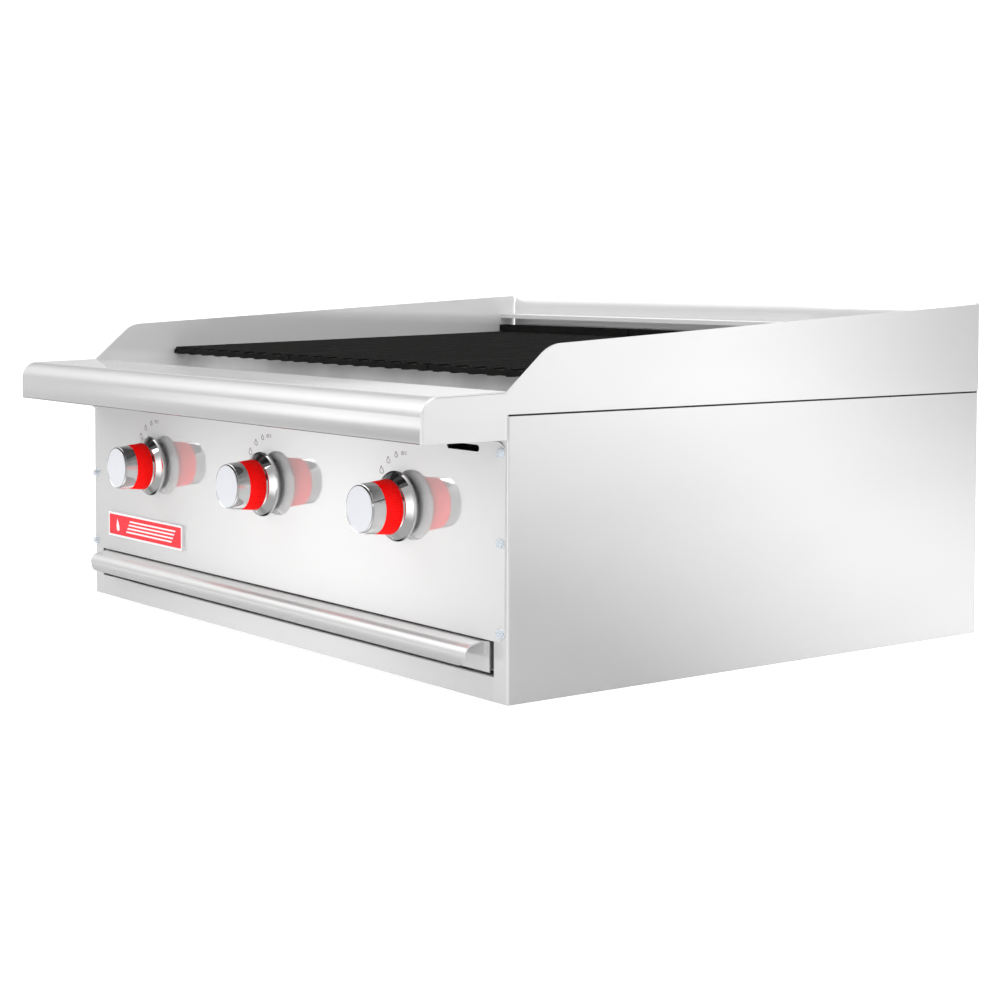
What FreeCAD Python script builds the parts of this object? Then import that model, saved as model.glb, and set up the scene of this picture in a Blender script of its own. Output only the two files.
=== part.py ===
import FreeCAD, Part
import math
import os

from FreeCAD import Vector

# Three-burner gas charbroiler for a counter top: sheet-metal body, bullnose work
# ledge, control panel, drip tray, burners under radiants, and cast-iron grates.
#
# Working frame, in millimetres: X runs along the front with 0 on the middle plane,
# Y runs to the back with 0 on the face of the front flanges, Z runs up from the base.
# Every piece is moved to the middle of the overall depth when it is written.

# ---- body -------------------------------------------------------------------
body_width = 914.4
body_depth = 707.0
side_height = 288.7
sheet = 1.5
front_flange = 22.7
outer_corner_radius = 2.5
seam_gap = 1.9
bend_clearance = 0.1
wall_step_gap = 0.7
lower_flange_depth = 12.0

# ---- upper side plates and back guard ---------------------------------------
cheek_thickness = 3.0
cheek_crest_y = 0.4
cheek_ramp_angle = 40.6
cheek_rise_at_ramp = 45.9
cheek_below_guard = 2.075
cheek_ramp_radius = 39.0
cheek_back_radius = 3.0
cheek_edge_fillet = 2.2
cheek_front_gap = 1.0
guard_rise = 107.8
guard_setback = 1.0
guard_lap = 26.0
guard_joggle_gap = 0.5
guard_joggle_rise = 4.0
guard_side_gap = 3.7
guard_roll_radius = 30.0
guard_roll_angle = 33.0
guard_hem_depth = 12.5
guard_crest_depth = 8.6
guard_crest_allowance = 1.0
guard_corner_radius = 3.0
shelf_depth = 24.0
shelf_drop = 29.2
shelf_lip = 6.9

# ---- front ledge ------------------------------------------------------------
ledge_reach = 104.5
ledge_drop = 23.4
ledge_rise = 24.8
ledge_fall = 2.5
ledge_nose_radius = 19.5
ledge_return = 20.0
ledge_lap = 4.5
ledge_notch_gap = 0.3

# ---- control panel ----------------------------------------------------------
panel_top_gap = 2.3
panel_side_inset = 3.2
panel_corner_radius = 13.0
panel_screw_inset = 9.2
panel_screw_edge = 9.0
panel_screw_top_edge = 10.6
panel_screw_middle_drop = 0.85
screw_hole_radius = 2.2
screw_play = 0.1
screw_length = 8.0
screw_across_flats = 7.0
screw_head_height = 3.2
screw_washer_radius = 5.0
screw_washer_thickness = 1.2
slot_length = 55.7
slot_height = 7.0
slot_inset = 74.0
slot_drop = 9.0
badge_length = 201.6
badge_height = 31.5
badge_left_inset = 45.2
badge_rise = 20.3
badge_thickness = 3.2
badge_border = 2.6
badge_pocket = 0.9
badge_field_depth = 0.2

# ---- burners and gas --------------------------------------------------------
burner_count = 3
service_gap = 38.7
valve_drop = 79.0
valve_wall = 9.0
valve_front = 24.0
valve_length = 34.0
valve_bush_wall = 5.0
valve_bush_length = 10.0
valve_plug_length = 6.0
outlet_radius = 6.0
outlet_length = 12.0
hood_wall = 2.0
hood_length = 22.0
hood_overlap = 8.0
jet_radius = 1.0
pipe_radius = 13.35
pipe_wall = 2.9
manifold_y = 41.0
manifold_drop = 44.0
manifold_overhang = 52.0
nipple_radius = 8.0
manifold_cap_wall = 3.5
manifold_cap_end = 4.0
manifold_cap_length = 18.0
manifold_closed_end = 12.0
fitting_wall = 4.65
fitting_length = 26.0
coupling_length = 28.0
inlet_thread_wall = 1.35
inlet_thread_length = 20.0
inlet_hole_clearance = 0.5
supply_wall_gap = 1.15
pilot_radius = 3.0
pilot_bend = 20.0
pilot_offset = 60.0
pilot_rise = 26.0
pilot_hole_clearance = 1.0
burner_bar_width = 70.0
burner_bar_height = 32.0
burner_wall = 4.0
burner_corner_radius = 9.0
burner_front_gap = 22.0
burner_rear_gap = 20.0
venturi_radius = 19.0
venturi_bell_radius = 24.0
venturi_bell_length = 10.0
venturi_reach = 43.0
port_radius = 1.7
port_pitch = 16.0
port_row_offset = 22.0
port_end_margin = 20.0

# ---- firebox ----------------------------------------------------------------
firebox_front_y = 138.0
firebox_rear_gap = 35.0
firebox_tray_gap = 8.0
firebox_side_drop = 6.0
firebox_top_flange = 12.0
wall_hole_clearance = 3.0
radiant_half_width = 95.0
radiant_clearance = 38.0
radiant_height = 50.0
radiant_thickness = 3.0
radiant_end_gap = 8.0
radiant_foot_share = 1.9
radiant_outer_bend = 6.0
radiant_inner_bend = 3.0
rail_width = 26.0
rail_leg = 20.0
trough_drop = 26.7
trough_depth = 23.0
drain_radius = 11.0
trough_end_gap = 0.5
drain_inset = 67.2
drain_setback = 68.5
drain_clearance = 4.0

# ---- grates -----------------------------------------------------------------
grate_overhang = 20.0
grate_rear_gap = 17.0
grate_rise = 4.5
grate_tilt = 1.26
grate_sections = 3
grate_side_gap = 1.2
bar_count = 9
bar_side_inset = 4.3
bar_width = 17.0
bar_height = 10.0
bar_foot_width = 9.0
bar_cheek_height = 4.0
bar_chamfer = 1.0
bar_chamfer_width = 2.5
bar_end_gap = 2.0
groove_depth = 3.0
cross_bar_width = 12.0
cross_bar_height = 6.0
cross_bar_lift = 1.0
cross_bar_shares = (0.0, 0.33, 0.66)
section_gap = 3.0
upstand_height = 20.0
upstand_thickness = 10.0
upstand_lift = 0.5
rest_clearance = 0.3

# ---- knobs ------------------------------------------------------------------
knob_face_reach = 59.0
knob_grip_rear_radius = 29.5
knob_grip_taper = 2.0
knob_grip_wall = 7.5
knob_grip_length = 20.6
knob_ring_taper = 1.0
knob_ring_length = 14.0
knob_cap_inset = 0.9
knob_cap_thickness = 2.2
knob_cap_chamfer = 0.9
knob_neck_step = 4.0
knob_neck_fall = 3.0
knob_neck_flare = 1.5
knob_rim_radius = 37.5
knob_rim_reach = 13.0
knob_rim_thickness = 1.8
knob_rim_round = 0.8
knob_rim_lip = 2.0
knob_back_inset = 6.5
knob_panel_gap = 2.5
knob_wall = 2.5
knob_front_wall = 4.0
stem_radius = 4.0
stem_running_clearance = 0.05
stem_hub_wall = 5.0
stem_hub_setback = 4.0
stem_depth_in_knob = 24.0
stem_end_gap = 2.0
stem_hole_clearance = 4.0

# ---- drip tray --------------------------------------------------------------
tray_opening_bottom = 25.3
tray_opening_height = 36.4
tray_front_gap_x = 7.5
tray_front_top_gap = 1.9
tray_front_bottom_gap = 3.2
tray_wall = 1.2
tray_pan_inset = 12.0
tray_floor_gap = 4.2
tray_pan_top_gap = 3.7
tray_rear_gap = 62.0
pull_reach = 25.5
pull_side_inset = 7.0
pull_fall = 3.6
pull_bend_radius = 12.0
pull_drop = 20.5
pull_corner_radius = 12.0
pull_mount = 13.0
pull_top_gap = 1.5
runner_width = 27.0
runner_overlap = 12.0
runner_clearance = 0.3

# ---- underside --------------------------------------------------------------
leg_inset_x = 47.2
leg_inset_y = 73.5
leg_hole_radius = 5.1
leg_nut_across_flats = 17.0
leg_nut_height = 8.0
back_vent_count = 9
back_vent_margin = 88.6
back_vent_length = 60.0
back_vent_height = 8.0
back_vent_drop = 62.0

# ---- places worked out from the sizes ---------------------------------------
half_width = body_width / 2
side_inner = half_width - sheet
cheek_inner = half_width - cheek_thickness
opening_half = half_width - front_flange
inner_corner_radius = outer_corner_radius - sheet
fold_clearance = inner_corner_radius + bend_clearance
floor_half = side_inner - fold_clearance
cheek_bottom = side_height + seam_gap
wall_step_z = side_height - wall_step_gap
guard_height = side_height + guard_rise
shelf_top = guard_height - shelf_drop
ledge_bottom = side_height - ledge_drop
ledge_crest = side_height + ledge_rise
ledge_nose_z = ledge_crest - ledge_fall
panel_half = half_width - panel_side_inset
panel_bottom = tray_opening_bottom + tray_opening_height
panel_top = ledge_bottom - panel_top_gap
slot_centre_x = half_width - slot_inset
back_panel_y = body_depth - 2 * sheet
guard_y = body_depth - guard_setback
guard_half = cheek_inner - guard_side_gap
tray_half = opening_half - tray_front_gap_x
pan_half = tray_half - tray_pan_inset
tray_floor = tray_opening_bottom + tray_floor_gap
tray_pan_top = panel_bottom - tray_pan_top_gap
tray_rear_y = body_depth - tray_rear_gap
firebox_rear_y = body_depth - firebox_rear_gap
firebox_half = side_inner - service_gap
firebox_bottom = tray_pan_top + firebox_tray_gap
burner_pitch = 2 * firebox_half / burner_count
valve_axis_z = panel_top - valve_drop
valve_rear = valve_front + valve_length
valve_radius = stem_radius + valve_wall
burner_top = valve_axis_z + burner_bar_height / 2
radiant_seat = burner_top + radiant_clearance
trough_floor = side_height - trough_drop
trough_top = trough_floor + trough_depth
drain_x = drain_inset - half_width
drain_y = sheet + drain_setback
grate_bottom = ledge_crest + grate_rise
grate_front_y = firebox_front_y - grate_overhang
grate_pitch = (2 * (cheek_inner - grate_side_gap) + section_gap) / grate_sections
section_width = grate_pitch - section_gap
bar_pitch = (section_width - bar_width - 2 * bar_side_inset) / (bar_count - 1)
manifold_z = valve_axis_z - manifold_drop
pipe_bore = pipe_radius - pipe_wall
fitting_radius = pipe_radius + fitting_wall
inlet_thread_radius = pipe_radius - inlet_thread_wall
supply_x = side_inner - supply_wall_gap - fitting_radius
knob_core_radius = knob_grip_rear_radius - knob_grip_wall
knob_ring_rear_radius = knob_grip_rear_radius - knob_grip_taper
knob_ring_front_radius = knob_ring_rear_radius - knob_ring_taper
knob_cap_radius = knob_ring_front_radius - knob_cap_inset
knob_neck_radius = knob_core_radius + knob_neck_step
knob_back_radius = knob_rim_radius - knob_back_inset
stem_hub_radius = stem_radius + stem_hub_wall
leg_spacing_x = body_width - 2 * leg_inset_x
leg_spacing_y = body_depth - 2 * leg_inset_y
back_vent_pitch = (2 * (floor_half - back_vent_margin) - back_vent_length) / (back_vent_count - 1)
burner_places = [(i - (burner_count - 1) / 2) * burner_pitch for i in range(burner_count)]
grate_places = [(i - (grate_sections - 1) / 2) * grate_pitch for i in range(grate_sections)]
screw_places_z = [panel_bottom + panel_screw_edge,
                  (panel_bottom + panel_top) / 2 - panel_screw_middle_drop,
                  panel_top - panel_screw_top_edge]
screw_x = half_width - panel_screw_inset
overall_rear_y = guard_y + guard_crest_depth
depth_centre_y = (overall_rear_y - ledge_reach) / 2


# ---- helpers ----------------------------------------------------------------
def box(x0, x1, y0, y1, z0, z1):
    """Block between two corners."""
    return Part.makeBox(x1 - x0, y1 - y0, z1 - z0, Vector(x0, y0, z0))


def rod(radius, start, direction, length):
    """Round bar from a start point."""
    return Part.makeCylinder(radius, length, Vector(*start), Vector(*direction))


def along_y(radius, x, z, y0, y1):
    """Round bar along Y between two depths."""
    return rod(radius, (x, y0, z), (0, 1, 0), y1 - y0)


def fuse(shapes):
    """One solid from pieces that share faces or volume."""
    return shapes[0].multiFuse(shapes[1:]).removeSplitter()


def corner_arc(before, corner, after, radius):
    """Start, middle and end of the arc that rounds a corner, as 2D points."""
    to_before = Vector(before[0] - corner[0], before[1] - corner[1], 0).normalize()
    to_after = Vector(after[0] - corner[0], after[1] - corner[1], 0).normalize()
    half_angle = to_before.getAngle(to_after) / 2
    tangent = radius / math.tan(half_angle)
    bisector = (to_before + to_after).normalize()
    apex = Vector(corner[0], corner[1], 0)
    centre = apex + bisector * (radius / math.sin(half_angle))
    return (apex + to_before * tangent, centre - bisector * radius, apex + to_after * tangent)


def rounded_wire(corners, place):
    """Closed wire through corners (a, b, radius), put in space by place(a, b)."""
    stops = []
    count = len(corners)
    for i in range(count):
        a, b, radius = corners[i]
        if radius > 0:
            stops.append(corner_arc(corners[i - 1], corners[i], corners[(i + 1) % count], radius))
        else:
            stops.append((Vector(a, b, 0), None, Vector(a, b, 0)))
    edges = []
    for i in range(count):
        start, middle, end = stops[i]
        if middle is not None:
            arc = Part.Arc(place(start.x, start.y), place(middle.x, middle.y), place(end.x, end.y))
            edges.append(arc.toShape())
        following = stops[(i + 1) % count][0]
        if end.distanceToPoint(following) > 1e-6:
            edges.append(Part.LineSegment(place(end.x, end.y), place(following.x, following.y)).toShape())
    return Part.Wire(edges)


def prism_x(corners, x0, x1):
    """Outline in Y and Z, drawn out along X."""
    wire = rounded_wire(corners, lambda a, b: Vector(x0, a, b))
    return Part.Face(wire).extrude(Vector(x1 - x0, 0, 0))


def prism_y(corners, y0, y1):
    """Outline in X and Z, drawn out along Y."""
    wire = rounded_wire(corners, lambda a, b: Vector(a, y0, b))
    return Part.Face(wire).extrude(Vector(0, y1 - y0, 0))


def bent_sheet(path, thickness):
    """Closed outline of a bent sheet: path is one face, the sheet lies on its right."""
    count = len(path)
    normals = []
    for i in range(count - 1):
        step = Vector(path[i + 1][0] - path[i][0], path[i + 1][1] - path[i][1], 0).normalize()
        normals.append(Vector(step.y, -step.x, 0))
    back = []
    for i in range(count):
        first = normals[max(i - 1, 0)]
        second = normals[min(i, count - 2)]
        shift = (first + second) * (thickness / (1 + first.dot(second)))
        turn = first.x * second.y - first.y * second.x
        radius = path[i][2]
        if radius > 0:
            radius = radius - thickness if turn < 0 else radius + thickness
        back.append((path[i][0] + shift.x, path[i][1] + shift.y, max(radius, 0)))
    return list(path) + back[::-1]


def mirrored(shape):
    """The same piece on the other side of the middle plane."""
    return shape.mirror(Vector(0, 0, 0), Vector(1, 0, 0))


def ring_turned(profile, x, z):
    """Solid turned about the axis along Y at (x, z), from corners (radius, forward reach)."""
    points = [Vector(x + r, -reach, z) for r, reach in profile]
    wire = Part.makePolygon(points + [points[0]])
    return Part.Face(wire).revolve(Vector(x, 0, z), Vector(0, 1, 0), 360)


def hexagon_y(across_flats, x, z, y0, y1):
    """Hexagonal bar along Y."""
    radius = across_flats / math.sqrt(3)
    points = []
    for i in range(7):
        angle = math.radians(60 * i)
        points.append(Vector(x + radius * math.cos(angle), y0, z + radius * math.sin(angle)))
    return Part.Face(Part.makePolygon(points)).extrude(Vector(0, y1 - y0, 0))


def obround_y(centre_x, centre_z, length, height, y0, y1):
    """Slot-shaped cutter along Y."""
    end = height / 2
    half = length / 2
    corners = [(centre_x - half, centre_z - end, end * 0.999), (centre_x + half, centre_z - end, end * 0.999),
               (centre_x + half, centre_z + end, end * 0.999), (centre_x - half, centre_z + end, end * 0.999)]
    return prism_y(corners, y0, y1)


def write(node, shape):
    """Put a piece in the row's frame and write its file."""
    placed = shape.copy()
    placed.translate(Vector(0, -depth_centre_y, 0))
    placed.exportStep("parts/" + node + ".step")


# ---- body shell -------------------------------------------------------------
def side_panel():
    """Right side panel, folded inwards along its front and back edges."""
    corners = [(opening_half, 0, 0), (half_width, 0, outer_corner_radius),
               (half_width, body_depth, outer_corner_radius), (opening_half, body_depth, 0),
               (opening_half, body_depth - sheet, 0), (side_inner, body_depth - sheet, inner_corner_radius),
               (side_inner, sheet, inner_corner_radius), (opening_half, sheet, 0)]
    wire = rounded_wire(corners, lambda a, b: Vector(a, b, 0))
    panel = Part.Face(wire).extrude(Vector(0, 0, side_height))
    holes = [along_y(screw_hole_radius, screw_x, z, -1, sheet + 1) for z in screw_places_z]
    return panel.cut(Part.makeCompound(holes))


def inlet_hole():
    """Cutter for the gas coupling where it leaves the back."""
    radius = fitting_radius + inlet_hole_clearance
    return along_y(radius, supply_x, manifold_z, back_panel_y - 1, body_depth + 1)


def base_plate():
    """Floor of the body, with the four leg holes."""
    plate = box(-floor_half, floor_half, sheet, back_panel_y, 0, sheet)
    return plate.cut(leg_holes(-1, sheet + 1))


def leg_places():
    """Centres of the four leg holes."""
    x = leg_spacing_x / 2
    y0 = leg_inset_y
    y1 = leg_inset_y + leg_spacing_y
    return [(-x, y0), (-x, y1), (x, y0), (x, y1)]


def leg_holes(z0, z1):
    """Cutters for the leg bolts."""
    return Part.makeCompound([rod(leg_hole_radius, (x, y, z0), (0, 0, 1), z1 - z0) for x, y in leg_places()])


def leg_nuts():
    """Four weld nuts on the floor that take the legs."""
    radius = leg_nut_across_flats / math.sqrt(3)
    nuts = []
    for x, y in leg_places():
        points = [Vector(x + radius * math.cos(math.radians(60 * i)),
                         y + radius * math.sin(math.radians(60 * i)), sheet) for i in range(7)]
        nuts.append(Part.Face(Part.makePolygon(points)).extrude(Vector(0, 0, leg_nut_height)))
    return Part.makeCompound(nuts).cut(leg_holes(0, sheet + leg_nut_height + 1))


def lower_front_plate():
    """Plate under the tray opening, with a flange turned in along its top."""
    path = [(0, 0, 0), (0, tray_opening_bottom, sheet + 0.1), (lower_flange_depth, tray_opening_bottom, 0)]
    return prism_x(bent_sheet(path, sheet), -opening_half, opening_half)


def back_panel():
    """Lower back panel with its vents and the hole for the gas inlet."""
    panel = box(-floor_half, floor_half, back_panel_y, back_panel_y + sheet, sheet, wall_step_z)
    vents = []
    for i in range(back_vent_count):
        x = (i - (back_vent_count - 1) / 2) * back_vent_pitch
        vents.append(obround_y(x, side_height - back_vent_drop, back_vent_length, back_vent_height,
                               back_panel_y - 1, back_panel_y + sheet + 1))
    return panel.cut(Part.makeCompound(vents + [inlet_hole()]))


# ---- upper plates -----------------------------------------------------------
def cheek():
    """Right upper side plate, which runs forward as the end of the ledge."""
    ramp = math.tan(math.radians(cheek_ramp_angle))
    knee_y = cheek_crest_y + cheek_rise_at_ramp / ramp
    knee_z = ledge_crest + cheek_rise_at_ramp
    back_z = guard_height - cheek_below_guard
    corners = [(-ledge_reach, ledge_bottom, 0), (-ledge_reach, ledge_nose_z, ledge_nose_radius),
               (cheek_crest_y, ledge_crest, 0), (knee_y, knee_z, cheek_ramp_radius),
               (body_depth, back_z, cheek_back_radius), (body_depth, cheek_bottom, 0),
               (-cheek_front_gap, cheek_bottom, 0), (-cheek_front_gap, ledge_bottom, 0)]
    plate = prism_x(corners, cheek_inner, half_width)
    rounded = []
    for edge in plate.Edges:
        middle = edge.BoundBox.Center
        on_outer_face = edge.BoundBox.XMin > half_width - 0.01
        on_ledge = middle.y < cheek_crest_y - 5 and middle.z > ledge_bottom + 5
        if on_outer_face and on_ledge:
            rounded.append(edge)
    return plate.makeFillet(cheek_edge_fillet, rounded)


def seam_gaskets():
    """Dark sealing strips between the side panels and the upper plates."""
    strip = box(side_inner + 0.1, half_width - 0.5, sheet, body_depth - sheet, side_height, cheek_bottom)
    return Part.makeCompound([strip, mirrored(strip)])


def back_guard():
    """Back guard with a rolled top and a lap that goes down inside the back panel."""
    lean = math.radians(guard_roll_angle)
    roll_start = guard_height - guard_crest_allowance - guard_roll_radius * math.sin(lean)
    knee_z = roll_start + guard_roll_radius * math.tan(lean / 2)
    crest_y = guard_y + (guard_height - knee_z) * math.tan(lean)
    lap_y = back_panel_y - sheet
    joggle_z = cheek_bottom + guard_joggle_gap
    path = [(lap_y, side_height - guard_lap, 0), (lap_y, joggle_z, 0),
            (guard_y, joggle_z + guard_joggle_rise, 0), (guard_y, knee_z, guard_roll_radius),
            (crest_y, guard_height, sheet + 0.1),
            (overall_rear_y, guard_height, sheet + 0.1), (overall_rear_y, guard_height - guard_hem_depth, 0)]
    guard = prism_x(bent_sheet(path, sheet), -guard_half, guard_half)
    outline = [(-guard_half, 0, 0), (guard_half, 0, 0), (guard_half, guard_height, guard_corner_radius),
               (-guard_half, guard_height, guard_corner_radius)]
    return guard.common(prism_y(outline, lap_y - 5, overall_rear_y + 5))


def guard_shelf():
    """Lip that stands forward of the guard above the back of the grates."""
    front = guard_y - shelf_depth
    path = [(front, shelf_top - shelf_lip, 0), (front, shelf_top, sheet + 0.1), (guard_y, shelf_top, 0)]
    return prism_x(bent_sheet(path, sheet), -cheek_inner, cheek_inner)


def front_ledge():
    """Bullnose work ledge, folded down inside the control panel."""
    back_drop = panel_top - ledge_lap
    path = [(-ledge_reach + ledge_return, ledge_bottom, 0), (-ledge_reach, ledge_bottom, sheet + 0.1),
            (-ledge_reach, ledge_nose_z, ledge_nose_radius), (sheet, ledge_crest, sheet + 0.1),
            (sheet, back_drop, 0)]
    ledge = prism_x(bent_sheet(path, sheet), -cheek_inner, cheek_inner)
    notch = box(opening_half - ledge_notch_gap, half_width, -1, sheet + 1, back_drop - 1, cheek_bottom)
    return ledge.cut(Part.makeCompound([notch, mirrored(notch)]))


# ---- control panel ----------------------------------------------------------
def control_panel():
    """Front panel with stem holes, screw holes and the lighting slot."""
    radius = panel_corner_radius
    corners = [(-panel_half, panel_bottom, radius), (panel_half, panel_bottom, radius),
               (panel_half, panel_top, radius), (-panel_half, panel_top, radius)]
    panel = prism_y(corners, -sheet, 0)
    stem_hole = stem_radius + stem_hole_clearance
    cutters = [along_y(stem_hole, x, valve_axis_z, -sheet - 1, 1) for x in burner_places]
    for z in screw_places_z:
        cutters.append(along_y(screw_hole_radius, screw_x, z, -sheet - 1, 1))
        cutters.append(along_y(screw_hole_radius, -screw_x, z, -sheet - 1, 1))
    cutters.append(obround_y(slot_centre_x, panel_top - slot_drop, slot_length, slot_height, -sheet - 1, 1))
    return panel.cut(Part.makeCompound(cutters))


def panel_screws():
    """Six hexagon washer-head screws that hold the panel."""
    screws = []
    for x in (-screw_x, screw_x):
        for z in screw_places_z:
            seat = -sheet - screw_washer_thickness
            washer = along_y(screw_washer_radius, x, z, seat, -sheet)
            head = hexagon_y(screw_across_flats, x, z, seat - screw_head_height, seat)
            shank = along_y(screw_hole_radius - screw_play, x, z, -sheet, screw_length)
            screws.append(fuse([washer, head, shank]))
    return Part.makeCompound(screws)


def badge_outline(inset):
    """Corners of the badge, drawn in by an inset."""
    x0 = -panel_half + badge_left_inset + inset
    x1 = -panel_half + badge_left_inset + badge_length - inset
    z0 = panel_bottom + badge_rise + inset
    z1 = panel_bottom + badge_rise + badge_height - inset
    return [(x0, z0, 1), (x1, z0, 1), (x1, z1, 1), (x0, z1, 1)]


def badge_plate():
    """Metal badge with a raised border round its field."""
    front = -sheet - badge_thickness
    plate = prism_y(badge_outline(0), front, -sheet)
    return plate.cut(prism_y(badge_outline(badge_border), front - 1, front + badge_pocket))


def badge_enamel():
    """Coloured field laid in the badge."""
    front = -sheet - badge_thickness
    return prism_y(badge_outline(badge_border), front + badge_field_depth, front + badge_pocket)


# ---- firebox ----------------------------------------------------------------
def grate_underside(y):
    """Height of the grates' underside at a depth."""
    return grate_bottom + (y - grate_front_y) * math.tan(math.radians(grate_tilt))


def firebox_front():
    """Front wall of the firebox, which also carries the front of the grates."""
    top = grate_underside(firebox_front_y) - rest_clearance
    y1 = firebox_front_y + sheet
    lower = box(-side_inner, side_inner, firebox_front_y, y1, firebox_bottom, wall_step_z)
    upper = box(-cheek_inner, cheek_inner, firebox_front_y, y1, wall_step_z, top)
    flange_end = firebox_front_y + firebox_top_flange
    flange = box(-cheek_inner, cheek_inner, firebox_front_y, flange_end, top - sheet, top)
    wall = fuse([lower, upper, flange])
    holes = [along_y(venturi_radius + wall_hole_clearance, x, valve_axis_z, firebox_front_y - 1, y1 + 1)
             for x in burner_places]
    holes.append(along_y(pipe_radius, supply_x, manifold_z, firebox_front_y - 1, y1 + 1))
    for x in burner_places:
        holes.append(along_y(pilot_radius + pilot_hole_clearance, x + pilot_offset, valve_axis_z + pilot_rise,
                             firebox_front_y - 1, y1 + 1))
    return wall.cut(Part.makeCompound(holes))


def firebox_rear():
    """Back wall of the firebox, which carries the back of the grates."""
    top = grate_underside(firebox_rear_y) - rest_clearance
    y1 = firebox_rear_y + sheet
    lower = box(-side_inner, side_inner, firebox_rear_y, y1, firebox_bottom, wall_step_z)
    upper = box(-cheek_inner, cheek_inner, firebox_rear_y, y1, wall_step_z, top)
    hole = along_y(pipe_radius, supply_x, manifold_z, firebox_rear_y - 1, y1 + 1)
    return fuse([lower, upper]).cut(hole)


def firebox_side():
    """Right inner wall of the firebox, folded outwards under the grates."""
    top = grate_bottom - firebox_side_drop
    path = [(firebox_half, firebox_bottom, 0), (firebox_half, top, 0), (cheek_inner, top, 0)]
    return prism_y(bent_sheet(path, sheet), firebox_front_y + sheet, firebox_rear_y)


def front_angle(seat_z):
    """Angle on the front wall: a shelf at seat_z with a leg down the wall."""
    wall_y = firebox_front_y + sheet
    shelf_piece = box(-firebox_half, firebox_half, wall_y, wall_y + rail_width, seat_z - sheet, seat_z)
    leg_piece = box(-firebox_half, firebox_half, wall_y, wall_y + sheet, seat_z - rail_leg, seat_z)
    return fuse([shelf_piece, leg_piece])


def rear_angle(seat_z):
    """Angle on the rear wall: a shelf at seat_z with a leg down the wall."""
    wall_y = firebox_rear_y
    shelf_piece = box(-firebox_half, firebox_half, wall_y - rail_width, wall_y, seat_z - sheet, seat_z)
    leg_piece = box(-firebox_half, firebox_half, wall_y - sheet, wall_y, seat_z - rail_leg, seat_z)
    return fuse([shelf_piece, leg_piece])


def radiant(x):
    """Inverted V plate over one burner."""
    apex = radiant_seat + radiant_height
    run = radiant_thickness / math.cos(math.atan2(radiant_height, radiant_half_width))
    foot = run * radiant_foot_share
    corners = [(x - radiant_half_width, radiant_seat, 0), (x, apex, radiant_outer_bend),
               (x + radiant_half_width, radiant_seat, 0), (x + radiant_half_width - foot, radiant_seat, 0),
               (x, apex - run, radiant_inner_bend), (x - radiant_half_width + foot, radiant_seat, 0)]
    return prism_y(corners, firebox_front_y + sheet + radiant_end_gap, firebox_rear_y - radiant_end_gap)


def burner(x):
    """Cast burner: hollow bar with two rows of ports, and a venturi out to the front."""
    y0 = firebox_front_y + burner_front_gap
    y1 = firebox_rear_y - burner_rear_gap
    half = burner_bar_width / 2
    rise = burner_bar_height / 2

    def bar_outline(inset):
        radius = burner_corner_radius - inset
        return [(x - half + inset, valve_axis_z - rise + inset, radius),
                (x + half - inset, valve_axis_z - rise + inset, radius),
                (x + half - inset, valve_axis_z + rise - inset, radius),
                (x - half + inset, valve_axis_z + rise - inset, radius)]

    mouth = firebox_front_y - venturi_reach
    bar = prism_y(bar_outline(0), y0, y1)
    tube = along_y(venturi_radius, x, valve_axis_z, mouth, y0 + burner_wall)
    bell = along_y(venturi_bell_radius, x, valve_axis_z, mouth, mouth + venturi_bell_length)
    inner_bar = prism_y(bar_outline(burner_wall), y0 + burner_wall, y1 - burner_wall)
    inner_tube = along_y(venturi_radius - burner_wall, x, valve_axis_z, mouth - 1, y0 + burner_wall + 1)
    ports = []
    port_count = int((y1 - y0 - 2 * port_end_margin) / port_pitch)
    for row in (-port_row_offset, port_row_offset):
        for i in range(port_count + 1):
            y = y0 + port_end_margin + i * port_pitch
            ports.append(rod(port_radius, (x + row, y, valve_axis_z), (0, 0, 1), rise + 2))
    return fuse([bar, tube, bell]).cut(inner_bar).cut(inner_tube).cut(Part.makeCompound(ports))


def grease_trough():
    """Trough between the ledge and the firebox that catches what runs down the grates."""
    path = [(firebox_front_y, trough_top, 0), (firebox_front_y, trough_floor, sheet + 0.1),
            (sheet, trough_floor, sheet + 0.1), (sheet, trough_top, 0)]
    channel = prism_x(bent_sheet(path, sheet), -floor_half, floor_half)
    end = box(floor_half - sheet, floor_half, sheet + trough_end_gap, firebox_front_y - trough_end_gap,
              trough_floor + trough_end_gap, trough_top)
    trough = fuse([channel, end, mirrored(end)])
    return trough.cut(rod(drain_radius, (drain_x, drain_y, trough_floor - 1), (0, 0, 1), trough_depth))


def trough_drain_tube():
    """Tube that leads the trough's drain down to the drip tray."""
    bottom = tray_pan_top + drain_clearance
    height = trough_floor - bottom
    outer = rod(drain_radius + sheet, (drain_x, drain_y, bottom), (0, 0, 1), height)
    return outer.cut(rod(drain_radius, (drain_x, drain_y, bottom - 1), (0, 0, 1), height + 2))


# ---- gas train --------------------------------------------------------------
def gas_manifold():
    """Pipe behind the panel that feeds the valves, capped at its left end."""
    x0 = burner_places[0] - manifold_overhang
    x1 = supply_x - fitting_length
    outer = rod(pipe_radius, (x0, manifold_y, manifold_z), (1, 0, 0), x1 - x0)
    inner = rod(pipe_bore, (x0 + manifold_closed_end, manifold_y, manifold_z), (1, 0, 0), x1 - x0)
    cap_start = (x0 - manifold_cap_end, manifold_y, manifold_z)
    cap = rod(pipe_radius + manifold_cap_wall, cap_start, (1, 0, 0), manifold_cap_length)
    return fuse([outer, cap]).cut(inner)


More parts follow.
